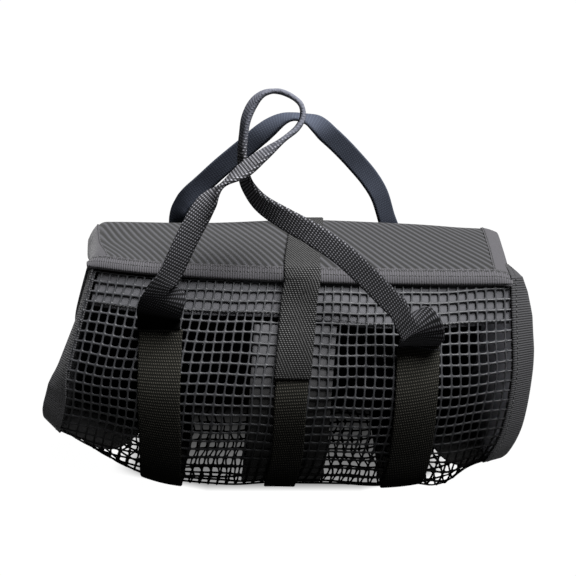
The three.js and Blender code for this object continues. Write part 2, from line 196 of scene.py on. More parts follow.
# %% Reading a smooth line or surface
def shares(t, count):
    """At t from 0 to 1 over count points: the four neighbours and their Catmull-Rom shares."""
    spot = np.clip(t, 0, 1) * (count - 1)
    first = np.minimum(spot.astype(int), count - 2)
    w = spot - first
    cubic = [-w + 2 * w**2 - w**3, 2 - 5 * w**2 + 3 * w**3, w + 4 * w**2 - 3 * w**3, w**3 - w**2]
    return first[..., None] + np.arange(4), 0.5 * np.stack(cubic, -1)


def run_on(points):
    """The points with one more at each end, straight on from the last two."""
    return np.concatenate([2 * points[:1] - points[1:2], points, 2 * points[-1:] - points[-2:-1]])


def line_at(points, t):
    """Point of the smooth line through points at t: the shares times the four neighbours."""
    near, share = shares(t, len(points))
    return np.einsum("...a,...ak->...k", share, run_on(points)[near])


def surface_at(stations, u, v):
    """Point of the smooth surface: shares across times shares along times sixteen neighbours."""
    u, v = np.broadcast_arrays(u, v)
    wide = np.swapaxes(run_on(np.swapaxes(run_on(stations), 0, 1)), 0, 1)
    near_u, share_u = shares(u, stations.shape[0])
    near_v, share_v = shares(v, stations.shape[1])
    around = wide[near_u[..., :, None], near_v[..., None, :]]
    return np.einsum("...a,...b,...abk->...k", share_u, share_v, around)


# %% [markdown]
# ## The body's form
# Five sections from the left end to the right one. Each runs from the front top edge down the front, under
# the bottom and up the back. The belly stands out, the foot pulls in, and the ends lift off the ground.

# %% The body's sections, in mm
REST = 2.9
x_top, x_belly, x_foot = np.array([
    [-136, -87, 10, 93, 158], [-155, -88, 3, 89, 160], [-166, -90, -5, 83, 146.0]])
x_low = (2 * x_belly + x_foot) / 3
top_y, belly_y, low_y, foot_y = np.array([
    [-44, -58, -61, -60, -54], [-67, -94, -100, -96, -71],
    [-65, -90, -94, -92, -70], [-62, -86, -91, -91, -69.0]])
back_foot_y, back_belly_y, back_top_y = np.array([
    [58, 74, 78, 74, 58], [64, 78, 80, 78, 64], [58, 60, 61, 60, 58.0]])
top_z, belly_z, back_top_z, lift = np.array([
    [153, 152, 150, 149, 151], [86, 80, 79, 80, 84],
    [147, 151.5, 153, 150.5, 145.5], [30, REST, REST, REST, 9]])
BODY = np.array([
    (x_top, top_y, top_z),
    ((x_top + x_belly) / 2, (top_y + belly_y) / 2 - 3, (top_z + belly_z) / 2),
    (x_belly, belly_y, belly_z), (x_low, low_y, lift + 32), (x_foot, foot_y + 6, lift + 5),
    (x_foot, foot_y + 32, lift), (x_foot, back_foot_y - 32, lift), (x_foot, back_foot_y - 6, lift + 5),
    (x_low, back_foot_y + 3, lift + 30), (x_belly, back_belly_y, belly_z), (x_top, back_top_y, back_top_z),
]).transpose(2, 0, 1)


def body(u, v):
    """The body's surface, with its height kept at the rest height or above."""
    place = surface_at(BODY, u, v)
    place[..., 2] = np.maximum(place[..., 2], REST)
    return place


print("body: sections, stations, axes", BODY.shape)

# %% [markdown]
# ## The flap's form
# The flap is one more surface: from the back top edge over the lid, round a soft ridge and down to the hem.
# It starts a little down the back wall, so that no light leaks in there. Its left side bends down most.

# %% The flap's sections, in mm
x_back, x_front, crown_y, hem_y = np.array([
    [-154, -88, 16, 93, 164], [-140.5, -86, 11, 92, 157], [4, 4, 4, 4, 4], [-44.5, -59.5, -63, -62.5, -58]])
back_rise, crown_z, ridge_z, hem_z = np.array([
    [13, 7, 7, 7, 8], [158, 161, 160.5, 159, 155.5],
    [161, 160.5, 158.5, 157, 155], [155.5, 154.5, 150.5, 148.5, 147]])
FLAP = np.array([
    (x_back, back_top_y + 1.7, back_top_z - 3), (x_back, back_top_y - 7, back_top_z + back_rise),
    ((x_back + x_front) / 2, crown_y, crown_z), (x_front, hem_y + 16, ridge_z),
    (x_front, hem_y + 4, (ridge_z + hem_z) / 2 + 1), (x_front, hem_y, hem_z),
]).transpose(2, 0, 1)
LEFT_BEND, RIGHT_BEND = 20, 4


def flap(u, v):
    """The flap's surface, u from left to right and v from back to hem; its sides bend down as powers of u."""
    place = surface_at(FLAP, u, v)
    left, right = np.clip(1 - u / 0.06, 0, 1), np.clip((u - 0.95) / 0.05, 0, 1)
    back = np.clip(v / 0.1, 0, 1) * np.clip(1 - v, 0, 1)**1.2
    middle = np.sin(math.pi * np.clip(v, 0, 1))**0.4
    place[..., 2] -= LEFT_BEND * back * left**2.5 + RIGHT_BEND * middle * right**2
    return place


print("flap: sections, stations, axes", FLAP.shape)

# %% [markdown]
# ## Directions on a surface
# Straps, tapes and stitches lie on the cloth a small way out from it, so each spot needs its own
# directions: across, along and outward. Short differences give them for any surface.

# %% Directions and lengths on a surface
def unit(v):
    """Each vector divided by its length."""
    return v / np.maximum(np.linalg.norm(v, axis=-1, keepdims=True), 1e-9)


def frame_on(surface, u, v):
    """Place, across, along and outward (along crossed with across) at each spot."""
    step = 0.002
    u, v = np.broadcast_arrays(np.asarray(u, float), np.asarray(v, float))
    across = unit(surface(np.minimum(u + step, 1), v) - surface(np.maximum(u - step, 0), v))
    along = unit(surface(u, np.minimum(v + step, 1)) - surface(u, np.maximum(v - step, 0)))
    return surface(u, v), across, along, unit(np.cross(along, across))


def smooth_step(x, low, high):
    """0 before low, 1 after high, and 3w^2 - 2w^3 between."""
    w = np.clip((x - low) / (high - low), 0, 1)
    return w * w * (3 - 2 * w)


def lengths(points, axis=0):
    """Distance run along the points from the first one: the sum of the steps."""
    steps = np.linalg.norm(np.diff(points, axis=axis), axis=-1)
    start = np.zeros_like(np.take(steps, [0], axis=axis))
    return np.concatenate([start, np.cumsum(steps, axis=axis)], axis=axis)


# %% [markdown]
# ## From arrays to pieces
# A sheet is a grid of middle points, pushed out and in by half its thickness, with a wall round its edges.
# That makes it closed, with faces that point outwards. Its UV map, named cloth, holds millimetres of cloth.

# %% Closed sheets
def rim(number, below):
    """Wall of quads from the outer ring of a grid of point numbers to the same ring's numbers plus below."""
    ring = np.concatenate([number[:, 0], number[-1, 1:], number[-2::-1, -1], number[0, -2:0:-1]])
    ahead = np.roll(ring, -1)
    return np.stack([ahead, ring, ring + below, ahead + below], -1)


def slab(middle, out, half, cloth):
    """Closed sheet: outer grid, inner grid and a wall along the edge, turned to face out."""
    rows, columns = middle.shape[:2]
    reach = np.broadcast_to(half, (rows, columns))[..., None] * out
    points = np.concatenate([(middle + reach).reshape(-1, 3), (middle - reach).reshape(-1, 3)])
    number = np.arange(rows * columns).reshape(rows, columns)
    outer = np.stack([number[:-1, :-1], number[1:, :-1], number[1:, 1:], number[:-1, 1:]], -1).reshape(-1, 4)
    wall = rim(number, number.size)
    faces = np.concatenate([outer, outer[:, ::-1] + number.size, wall])
    side = np.repeat([0, 1, 0], [len(outer), len(outer), len(wall)])
    flat = np.concatenate([cloth.reshape(-1, 2)] * 2)
    turn = np.cross(np.gradient(middle, axis=0), np.gradient(middle, axis=1))
    return points, faces if (turn * out).sum() > 0 else faces[:, ::-1], flat, side


# %% Making a piece
TO_FRAME = np.array([2.314, 9.025, 0])


def make_piece(name, parts, materials, node):
    """A mesh object at the origin, from points in mm, quads, cloth places and each face's side."""
    points, faces, cloth, side = parts
    mesh = bpy.data.meshes.new(name)
    mesh.from_pydata(((points + TO_FRAME) * MM).tolist(), [], faces.tolist())
    for material in materials:
        mesh.materials.append(material)
    mesh.polygons.foreach_set("material_index", np.minimum(side, len(materials) - 1).astype(np.int32))
    mesh.shade_smooth()
    mesh.uv_layers.new(name="cloth").uv.foreach_set("vector", cloth[faces.ravel()].astype(np.float32).ravel())
    mesh.validate()
    piece = bpy.data.objects.new(name, mesh)
    bpy.context.collection.objects.link(piece)
    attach(piece, "root")
    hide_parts(node)
    print(name, "triangles", 2 * len(faces))
    return piece


# %% [markdown]
# ## Coated net
# The net is knotted or woven polyester dipped in soft vinyl, so that its strands are one smooth web.
# Vinyl gives a dull plastic gleam on the upper side of each strand, with a slightly uneven skin.
# Up to a hand's breadth above the floor the net is painted darker and loses its gleam, as painted shade.

# %% Net material
# near-black tone of the painted shade, also used low down on the linings and the webbing
PAINTED_SHADE_TONE = "#020202"


def above(tree, low, high, least=0.0):
    """Ramp of the height over the floor in metres: least below low, 1 above high, straight between."""
    place = add(tree, "TexCoord")
    axes = add(tree, "SeparateXYZ", {0: place.outputs["Object"]})
    return add(tree, "MapRange", {0: axes.outputs[2], 1: low, 2: high, 3: least})


net_vinyl, tree = new_material("polyester net, dipped in vinyl")
place = add(tree, "TexCoord")
# patches of about 17 mm, and a skin whose bumps are 0.7 mm
patches = add(tree, "TexNoise", {"Vector": place.outputs["Object"], "Scale": 60.0, "Detail": 3.0})
skin = add(tree, "TexNoise", {"Vector": place.outputs["Object"], "Scale": 1400.0, "Detail": 2.0})
dry = add(tree, "Mix", {0: patches, 6: "#131415", 7: "#1b1b1d"}, data_type="RGBA")
# painted shade: below 0.12 m the tone darkens towards near black and the gleam fades to nothing
out_of_painted_shade = above(tree, 0.025, 0.12)
tone = add(tree, "Mix", {0: out_of_painted_shade, 6: PAINTED_SHADE_TONE, 7: dry.outputs[2]}, data_type="RGBA")
rough = add(tree, "MapRange", {0: skin, 3: 0.4, 4: 0.6})
gleam = add(tree, "MapRange", {0: out_of_painted_shade, 3: 0.0, 4: 0.1})
end_material(tree, tone, (skin, 0.00015, 0.6), rough, gleam, {"IOR": 1.5})

# %% [markdown]
# ## Net geometry
# One cell of the net is a rounded square hole with half a strand round it. A template of one cell is laid
# on a lattice of cells, and the lattice is laid on the body by length, so that the cells keep their size.
# Neighbours share the crest of a strand, which closes the web. Two pieces, the front and the bottom, keep
# each under the limit of triangles.

# %% Even cloth on the body
ACROSS, GIRTH = np.linspace(0, 1, 161), np.linspace(0, 1, 201)
MIDDLE_COLUMN, BELLY_ROW, BACK_ROW = 80, 40, 160
body_grid = body(ACROSS[None, :], GIRTH[:, None])
row_lengths = lengths(body_grid, axis=1)
EVEN = np.stack([np.interp(ACROSS, row / row[-1], ACROSS) for row in row_lengths])
GIRTH_MM = lengths(body_grid[:, MIDDLE_COLUMN])


def read_table(table, row, column):
    """Value between a table's entries: the four around it, by nearness; row and column go from 0 to 1."""
    last_row, last_column = table.shape[0] - 1, table.shape[1] - 1
    row, column = np.clip(row, 0, 1) * last_row, np.clip(column, 0, 1) * last_column
    i, j = np.minimum(row.astype(int), last_row - 1), np.minimum(column.astype(int), last_column - 1)
    a, b = row - i, column - j
    return ((1 - a) * ((1 - b) * table[i, j] + b * table[i, j + 1])
            + a * ((1 - b) * table[i + 1, j] + b * table[i + 1, j + 1]))


belly_mm = row_lengths[BELLY_ROW][-1]
print("girth", round(GIRTH_MM[-1]), "mm, width at the belly", round(belly_mm), "mm")

# %% [markdown]
# Down the front each column of the net is as long as the body is there. Under the bottom the lengths are
# evened out, so that every column ends together.

# %% True lengths down the net
NET_END = 0.7
net_run = np.interp(NET_END, GIRTH, GIRTH_MM)
COLUMN_MM = lengths(body(EVEN, GIRTH[:, None]))
RUNS = np.linspace(0, net_run, 201)
late = smooth_step(RUNS / net_run, 0.4, 1)
DOWN = np.stack([np.interp(RUNS * (1 + late * (np.interp(NET_END, GIRTH, arc) / net_run - 1)), arc, GIRTH)
                 for arc in COLUMN_MM.T], 1)


def net_spot(share, run):
    """Surface readings of the net for a share of the width and a run in mm down from the top edge."""
    v = read_table(DOWN, run / net_run, share)
    return read_table(EVEN, v, share), v


print("net runs", round(net_run), "mm down")

# %% Ripples and slack
NET_WIDE, NET_HIGH, STRAND, CREST = 6.85, 7.4, 1.6, 0.7
net_columns = round(belly_mm / NET_WIDE)
net_rows = round(net_run / NET_HIGH)
FOOT_MM = np.interp(0.4, GIRTH, GIRTH_MM)


def net_ripple(share, run):
    """How far the net stands out, in mm: slow waves, less a crease, plus a bag at the right foot."""
    wave = 0.5 * np.sin(21 * share + run / 34) + 0.3 * np.sin(37 * share - run / 19 + 1.3)
    wave = wave * np.clip(run / 40, 0, 1) * np.clip(8 * share, 0, 1) * np.clip(8 - 8 * share, 0, 1)
    along_crease, off_crease = (share - 0.645) / 0.055, (share - 0.645) * 300 + (run - 68) * 0.95
    crease = 3.0 * np.exp(-along_crease**2 - (off_crease / 7)**2)
    foot_bag = 7 * np.exp(-((share - 0.88) / 0.055)**2 - ((run - FOOT_MM) / 30)**2)
    return wave - crease + foot_bag


def net_place(column, row, height):
    """Point of the net at a place on the lattice, lifted along the body's normal by its height and ripple.

    The slack bottom lies crooked: its lattice is shifted by sines of a few millimetres.
    """
    share, run = column / net_columns, row * net_run / net_rows
    share = share + 0.011 * np.sin(2 * math.pi * share)
    slack = np.clip(6 * share, 0, 1) * np.clip(6 - 6 * share, 0, 1) * np.clip((run - FOOT_MM + 25) / 50, 0, 1)
    share = share + 0.0009 * np.sin(0.9 * row + 0.4 * column) + 0.0006 * np.sin(1.7 * column - 0.6 * row)
    share = share + slack * (0.005 * np.sin(run / 11 + 14 * share) + 0.003 * np.sin(run / 6.3 - 23 * share))
    run = run + slack * (1.4 * np.sin(31 * share + run / 25) + 1.0 * np.sin(57 * share + 1.0))
    u, v = net_spot(share, run + 0.35 * np.sin(0.8 * column + 0.5 * row))
    place, _, _, out = frame_on(body, u, v)
    place = place + out * (height + net_ripple(share, run))[..., None]
    place[..., 2] = np.maximum(place[..., 2], CREST + height + 0.3)
    return place


print("net has", net_columns, "columns and", net_rows, "rows")

# %% Web of cells
def net_web(first, rows, tall=1):
    """Closed web of cells, each so many rows tall: crests above and below, and three rings in each cell.

    A hole has four corners and three points between each two. A corner's point lies on its round, which
    passes 0.29 of the radius inside the square corner.
    """
    bx = np.array([0, 1, 2, 3, 4, 4, 4, 4, 4, 3, 2, 1, 0, 0, 0, 0])
    by = np.roll(bx, 4)
    hole, radius = 0.5 - STRAND / NET_HIGH / 2, 0.19
    corner = hole - 0.29 * radius
    line, side = np.array([-corner, radius - hole, 0, hole - radius]), np.array([corner, hole, hole, hole])
    taller = 1 + STRAND / NET_HIGH * (1 - 1 / tall)
    hx = 0.5 + np.concatenate([line, side, -line, -side])
    hy = 0.5 + taller * np.concatenate([-side, line, side, -line])
    mx, my = 0.5 * (bx / 4 + hx), 0.5 * (by / 4 + hy)
    lattice = np.zeros((4 * rows + 1, 4 * net_columns + 1), int)
    lattice[::4], lattice[:, ::4] = 1, 1
    ly, lx = np.nonzero(lattice)
    lattice[ly, lx] = np.arange(len(lx))
    cy, cx = (g.reshape(-1, 1) for g in np.mgrid[0:rows, 0:net_columns])
    count, cells = len(lx), len(cx)
    column = np.concatenate([lx / 4, lx / 4, *[(cx + ring).ravel() for ring in (mx, hx, mx)]])
    row = first + tall * np.concatenate([ly / 4, ly / 4, *[(cy + ring).ravel() for ring in (my, hy, my)]])
    high = np.repeat([CREST, -CREST, 0.85 * CREST, 0, -0.85 * CREST], [count, count] + 3 * [16 * cells])
    points = net_place(column, row, high)
    crest = lattice[4 * cy + by, 4 * cx + bx]
    ring = 2 * count + np.arange(16 * cells).reshape(cells, 16)
    loops = [crest, ring, ring + 16 * cells, ring + 32 * cells, crest + count]
    faces = [np.stack([a, b, np.roll(b, -1, 1), np.roll(a, -1, 1)], -1).reshape(-1, 4)
             for a, b in zip(loops[:-1], loops[1:])]
    faces = np.concatenate([*faces, rim(lattice, count)])
    return points, faces, np.stack([NET_WIDE * column, NET_HIGH * row], -1), np.zeros(len(faces), int)


# the pieces meet in the row along the lower front edge; below it the slack net is drawn out lengthwise,
# to cells two rows tall
FOOT_ROW = 22
for name, first, rows, tall in (("net_front", 0, FOOT_ROW, 1),
                                ("net_bottom", FOOT_ROW, (net_rows - FOOT_ROW) // 2, 2)):
    web = net_web(first, rows, tall)
    net = make_piece(name, web, [net_vinyl], "net_panel")

# %% [markdown]
# ## Twill
# The flap and the back are heavy polyester twill: bold ribs that run slantwise, each made of short floats
# of yarn. The ribs are painted light and the grooves between them dark, as painted shade. Twill is matt. Its
# inner side is coated black, which keeps the inside of the bag dark. The UV map of a twill piece holds
# millimetres across the ribs and along them.

# %% Twill material
RIB = 4.8


def ripple(tree, distance, pitch, groove=-1.0):
    """Ribs over a distance in mm: one cosine in each pitch, drawn to 0 in the groove and 1 on the crown."""
    turns = add(tree, "Math", {0: distance, 1: 2 * math.pi / pitch}, operation="MULTIPLY")
    wave = add(tree, "Math", {0: turns}, operation="COSINE")
    return add(tree, "MapRange", {0: wave, 1: groove, 2: 1.0})


twill, tree = new_material("polyester twill, woven with bold ribs")
cloth = add(tree, "UVMap", uv_map="cloth")
flat = add(tree, "SeparateXYZ", {0: cloth})
rib = ripple(tree, flat.outputs[0], RIB)
# yarns of 0.5 mm can't show at this size, so the floats are drawn as flecks of 1.1 by 2.6 mm
float_size = add(tree, "Mapping", {0: cloth, 3: (1 / 1.1, 1 / 2.6, 1)})
floats = add(tree, "TexNoise", {"Vector": float_size, "Scale": 1.0, "Detail": 2.0})
steps = add(tree, "Math", {0: rib, 1: floats}, operation="MULTIPLY")
height = add(tree, "Math", {0: rib, 1: steps}, operation="ADD")
# painted shade: the colour runs from dark in the grooves to light on the crowns
shade = add(tree, "MapRange", {0: height, 1: 0.45, 2: 1.4})
tone = add(tree, "Mix", {0: shade, 6: "#030303", 7: "#19191b"}, data_type="RGBA")
SHEEN = {"Sheen Weight": 0.03, "Sheen Roughness": 0.5}
end_material(tree, tone, (height, 0.0005, 0.7), 0.85, 0.1, SHEEN)

# %% Coating material
def speckled(name, low, high, scale, detail, bumps, roughness, gleam):
    """Two tones mixed by noise of so many specks a metre, whose height also makes the bumps."""
    material, tree = new_material(name)
    place = add(tree, "TexCoord")
    specks = add(tree, "TexNoise", {"Vector": place.outputs["Object"], "Scale": scale, "Detail": detail})
    tone = add(tree, "Mix", {0: specks, 6: low, 7: high}, data_type="RGBA")
    end_material(tree, tone, (specks, *bumps), roughness, gleam)
    return material


# brush marks of about 5 mm
coating = speckled("black coating, brushed on the inside of the twill", "#030304", "#09090a", 220.0, 4.0,
                   (0.0003, 0.4), 0.8, 0.05)

# %% [markdown]
# ## The flap's cloth
# Its ribs run down to the right, about 5.4 mm apart along the hem and 12.5 mm apart down the flap. They
# stand a little closer on the left, because the cloth is pulled askew. The ribs are real relief, so that they
# show at the edges too, and the cloth sags slightly between its bound edges.

# %% Ribs of the twill
RIB_HIGH, TWILL_HALF = 0.28, 0.7


def rib_count(x, y):
    """Ribs passed at x and y in mm: 0.185 x less a little x squared, less y / 12.5."""
    return 0.185 * x - 6.4e-5 * x**2 - y / 12.5


def twill_map(x, y):
    """Millimetres across the ribs, as their count times the rib width, and along them."""
    return np.stack([RIB * rib_count(x, y), (x + 2 * y) / math.sqrt(5)], -1)


def twill_relief(x, y):
    """Height of the ribs in mm: a cosine of the count."""
    return RIB_HIGH * np.cos(2 * math.pi * rib_count(x, y))


# %% Flap cloth
V_FLAP = np.linspace(0, 1, 201)
FOLD_MM = lengths(flap(0.5, V_FLAP))


def flap_run(millimetres):
    """Reading along the flap for a distance from its back edge, measured in its middle."""
    return np.interp(millimetres, FOLD_MM, V_FLAP)


u = np.linspace(0.012, 0.988, 281)[None, :]
run = np.linspace(0, FOLD_MM[-1] - 2.5, 121)[:, None]
place, _, _, out = frame_on(flap, u, flap_run(run))
x, y = place[..., 0], np.broadcast_to(run, place.shape[:2])
sag = 0.7 * np.sin(x / 31 + y / 47) + 0.5 * np.sin(x / 17 - y / 29 + 2)
for inset in (y / 25, (FOLD_MM[-1] - y) / 30, (150 - abs(x)) / 20):
    sag = sag * np.clip(inset, 0, 1)
relief = twill_relief(x, y) * np.clip((y - 12) / 25, 0, 1)
lid = slab(place + out * (sag + relief)[..., None], out, TWILL_HALF, twill_map(x, y))
flap_cloth = make_piece("flap_cloth", lid, [twill, coating], "flap_panel")

# %% [markdown]
# ## Plain cloths
# The ends and the bands inside are lighter cloth in a plain weave, dull and nearly black. Yarns of 0.3 mm
# can't show, so a checker of 0.8 mm and slow slubs stand for them. The inside of the right end is painted
# pale grey, as painted light, and most of these cloths get painted shade low down.

# %% Plain cloth materials
def lining_cloth(name, low, high, painted_shade_below=0.0):
    """A checker of yarns plus slow slubs, which shade it from low to high; with painted shade below a height.
    """
    material, tree = new_material(name)
    cloth = add(tree, "UVMap", uv_map="cloth")
    weave = add(tree, "TexChecker", {"Vector": cloth, "Scale": 1 / 0.8})
    slubs = add(tree, "TexNoise", {"Vector": cloth, "Scale": 0.5, "Detail": 4.0})
    height = add(tree, "Math", {0: weave.outputs[1], 1: slubs}, operation="ADD")
    dry = add(tree, "Mix", {0: slubs, 6: low, 7: high}, data_type="RGBA")
    # painted shade: below the given height the tone darkens to near black over 80 mm
    out_of_painted_shade = above(tree, painted_shade_below - 0.08, painted_shade_below)
    tone = add(tree, "Mix", {0: out_of_painted_shade, 6: PAINTED_SHADE_TONE, 7: dry.outputs[2]}, data_type="RGBA")
    end_material(tree, tone, (height, 0.0001, 0.5), 0.85, 0.1)
    return material


# the left end takes painted shade below 0.1 m
end_twill = lining_cloth("polyester twill, woven plain and left uncoated", "#0b0b0d", "#101013", 0.1)
# painted light: the right end's inside is coloured pale grey to stand for light falling there; below 0.092 m
# it takes painted shade
painted_light_coating = lining_cloth("pale grey inside of the right end, painted light", "#c4c4d0", "#d6d6e0",
                           0.092)
band_lining = lining_cloth("plain lining cloth, closely woven", "#202022", "#29292b")
# the centre band is painted darker below 0.157 m, as painted shade
centre_lining = lining_cloth("plain lining cloth, woven, with painted shade low down", "#2b2b2d", "#363638", 0.157)

# %% [markdown]
# ## Back and ends
# The back isn't in the photo, so it is one plain wall that starts under the net's last row. Each end is a
# patch drawn between its four edges, as cloth pulled tight by its seam would lie.

# %% Back cloth
u = np.linspace(0.004, 0.996, 181)[None, :]
run = np.linspace(net_run - 11, GIRTH_MM[-1] - 0.5, 101)[:, None]
v = np.interp(run, GIRTH_MM, GIRTH)
place, _, _, out = frame_on(body, read_table(EVEN, *np.broadcast_arrays(v, u)), v)
x, y = place[..., 0], np.broadcast_to(run, place.shape[:2])
relief = twill_relief(x, y) * np.clip((y - run[0] - 8) / 4, 0, 1)
wall = slab(place + out * relief[..., None], out, TWILL_HALF, twill_map(x, y))
back_cloth = make_piece("back_cloth", wall, [twill, coating], "back_panel")

# %% End cloths
FRONT_FOOT, BACK_FOOT = 0.42, 0.68
END_INSET, FOOT_INSET, END_HALF = 1.2, 1.7, 0.6


def foot_at(s):
    """Girth reading along the foot of an end, from its front corner at s = 0 to its back corner at 1."""
    return FRONT_FOOT + (BACK_FOOT - FRONT_FOOT) * s


def end_patch(end, s, t):
    """Coons patch: sides blended plus top and foot blended, less the corners blended twice."""
    u_edge = 0.001 if end == "left" else 0.999
    s, t = np.broadcast_arrays(s, t)

    def edge(v):
        spot, _, _, outward = frame_on(body, np.full(s.shape, u_edge), v)
        return spot - END_INSET * outward

    def mix(a, b, w):
        return a + (b - a) * w[..., None]

    sides = mix(edge(FRONT_FOOT * t), edge(1 - (1 - BACK_FOOT) * t), s)
    top = mix(edge(0), edge(1), s)
    return sides + mix(top, edge(foot_at(s)), t) - mix(top, mix(edge(FRONT_FOOT), edge(BACK_FOOT), s), t)


# the foot of each end is turned in under the net, by about 20 mm at the front and 80 mm at the back
s, t = np.linspace(0, 1, 61)[None, :], np.linspace(0, 1, 71)[:, None]
for end, sign, at_front, inner in (("left", -1, 0.072, end_twill), ("right", 1, 0.054, painted_light_coating)):
    turned_in = 0.006 + (at_front + 0.2 * s) * np.linspace(0, 1, 24)[:, None]
    under, _, _, outward = frame_on(body, turned_in if end == "left" else 1 - turned_in, foot_at(s))
    place = np.concatenate([end_patch(end, s, t), under - FOOT_INSET * outward])
    out = unit(np.cross(np.gradient(place, axis=0), np.gradient(place, axis=1)))
    out = out * np.sign((out[..., 0] * sign).sum())
    y, down = place[..., 1], np.broadcast_to(lengths(place[:, 30])[:, None], place.shape[:2])
    panel = slab(place, out, END_HALF, twill_map(y, down))
    end_cloth = make_piece(f"end_cloth_{end}", panel, [end_twill, inner], f"end_panel_{end}")

# %% [markdown]
# ## Binding tape
# Each raw edge is closed by grosgrain tape, folded round it and sewn through. Grosgrain has fine ribs
# straight across the tape. Its profile is a hairpin: a leg, a half circle round the edge, and a leg.

# %% Tape material
TAPE_RIB = 1.7


def grosgrain(name, low, high):
    """Tape whose ribs of 1.7 mm lie across it, painted dark in the grooves and light on the crowns, as
    painted shade.
    """
    material, tree = new_material(name)
    cloth = add(tree, "UVMap", uv_map="cloth")
    flat = add(tree, "SeparateXYZ", {0: cloth})
    yarns = add(tree, "TexNoise", {"Vector": cloth, "Scale": 0.9, "Detail": 3.0})
    height = add(tree, "Math", {0: ripple(tree, flat.outputs[1], TAPE_RIB), 1: yarns}, operation="ADD")
    # painted shade: dark in the grooves, light on the crowns
    shade = add(tree, "MapRange", {0: height, 1: 0.3, 2: 1.6})
    tone = add(tree, "Mix", {0: shade, 6: low, 7: high}, data_type="RGBA")
    end_material(tree, tone, (height, 0.0004, 0.7), 0.8, 0.1, SHEEN)
    return material


flap_tape = grosgrain("polyester grosgrain tape, woven with cross ribs", "#0f0f0f", "#201f22")
# the flap's tape painted darker, as painted shade for the ends
shaded_end_tape = grosgrain("polyester grosgrain tape, woven, painted darker as shade", "#080808", "#161618")

# %% [markdown]
# ## Thread
# Rows of stitches hold the tape. Waxed thread is round and a little shiny, so each stitch is a small solid
# that catches the light. There are hundreds of them, so each has only ten faces.

# %% Thread material
# plies of 0.4 mm, too fine for bumps
thread = speckled("bonded polyester thread, spun and waxed", "#050505", "#151516", 2500.0, 1.0,
                  (0.0, 0.0), 0.5, 0.15)

# %% Rows of stitches
THREAD_SIDE = 2


def stitches(path, out, length=2.4, gap=1.3, width=0.9):
    """Sewn dashes along a line: each is three four-sided rings, full in the middle and half at the ends."""
    run = lengths(path)
    starts = np.arange(gap + length / 2, run[-1] - length / 2, length + gap)
    spots = starts[:, None] + length * np.array([-0.5, 0, 0.5])

    def read(table, where):
        return np.stack([np.interp(where, run, table[:, k]) for k in range(3)], -1)

    up, ahead = unit(read(out, spots)), unit(read(path, spots + 0.4) - read(path, spots - 0.4))
    side = np.cross(ahead, up)
    reach = width / 2 * np.array([0.5, 1, 0.5])[:, None, None]
    rings = read(path, spots)[:, :, None] + reach * np.stack([side, 0.7 * up, -side, -0.7 * up], 2)
    a = np.arange(4)
    b = (a + 1) % 4
    walls = [np.stack([a + 4 * k, a + 4 * k + 4, b + 4 * k + 4, b + 4 * k], -1) for k in (0, 1)]
    dash = np.concatenate([*walls, [[0, 1, 2, 3], [11, 10, 9, 8]]])
    faces = (dash[None] + 12 * np.arange(len(starts))[:, None, None]).reshape(-1, 4)
    return rings.reshape(-1, 3), faces, np.zeros((rings.size // 3, 2)), np.full(len(faces), THREAD_SIDE)


# %% Tape folded round an edge
TAPE_HALF, TAPE_GAP, HEM_GAP = 0.4, 1.15, 1.4


def strip_map(q, run):
    """UV map of a strip: millimetres across it and along it, for each column and row."""
    return np.stack(np.broadcast_arrays(q[None, :], run[:, None]), -1)


def hairpin(reach, gap):
    """Along a hairpin of that reach and gap: distance in from the edge, height, and both for its normal."""
    leg, angle = np.linspace(reach, gap, 9), np.linspace(0, math.pi, 9)[1:-1]
    one, zero = np.ones(9), np.zeros(9)
    inward = np.concatenate([leg, gap - gap * np.sin(angle), leg[::-1]])
    normal_in = np.concatenate([zero, -np.sin(angle), zero])
    normal_up = np.concatenate([one, np.cos(angle), -one])
    return inward, gap * normal_up, normal_in, normal_up


def folded_tape(place, inward, up, profile, run):
    """Closed tape: the hairpin's heights laid on the cloth's places, with rows along the edge."""
    distance, height, normal_in, normal_up = profile
    middle = place + up * height[:, None]
    normal = unit(inward * normal_in[:, None] + up * normal_up[:, None])
    across_mm = np.concatenate([[0], np.cumsum(np.hypot(np.diff(distance), np.diff(height)))])
    return slab(middle, normal, TAPE_HALF, strip_map(across_mm, run))


# %% [markdown]
# ## Bindings of the flap and the ends
# The flap's tape runs down both sides and along the hem, where a second row of stitches wanders. At each
# end the tape stands out from the body as a flange. It leans back at the top left, where the flap presses
# on it, and it is drawn narrower where it turns under the bag or under the flap.

# %% Flap binding
def together(parts):
    """Several sets of points, faces, cloth places and sides as one, with the faces renumbered."""
    points, faces, cloth, side = zip(*parts)
    starts = np.cumsum([0] + [len(p) for p in points[:-1]])
    faces = [f + start for f, start in zip(faces, starts)]
    return tuple(np.concatenate(arrays) for arrays in (points, faces, cloth, side))


FLAP_TAPE, LEFT_EXTRA, HEM_TAPE = 14, 7, 11
NEAR = 0.004
v = flap_run(np.linspace(0, FOLD_MM[-1] - 1, 110))
tapes = []
for start, sign, width in ((0.0, 1, FLAP_TAPE + LEFT_EXTRA), (1.0, -1, FLAP_TAPE)):
    profile = hairpin(width, TAPE_GAP)
    edge, inner = (flap(np.full(v.shape, start + by), v) for by in (0, sign * NEAR))
    near_mm = np.linalg.norm(edge - inner, axis=-1)
    u = start + sign * profile[0][None, :] * NEAR / near_mm[:, None]
    place, across, _, out = frame_on(flap, u, v[:, None])
    tapes.append(folded_tape(place, sign * across, out, profile, lengths(place[:, 0])))
    place, _, _, out = frame_on(flap, start + sign * (width - 1.2) * NEAR / near_mm, v)
    tapes.append(stitches(place + (TAPE_GAP + 0.5) * out, out))
profile = hairpin(HEM_TAPE, HEM_GAP)
u = np.linspace(0, 1, 260)
place, _, along, out = frame_on(flap, u[:, None], flap_run(FOLD_MM[-1] - profile[0])[None, :])
tapes.append(folded_tape(place, -along, out, profile, lengths(place[:, 0])))
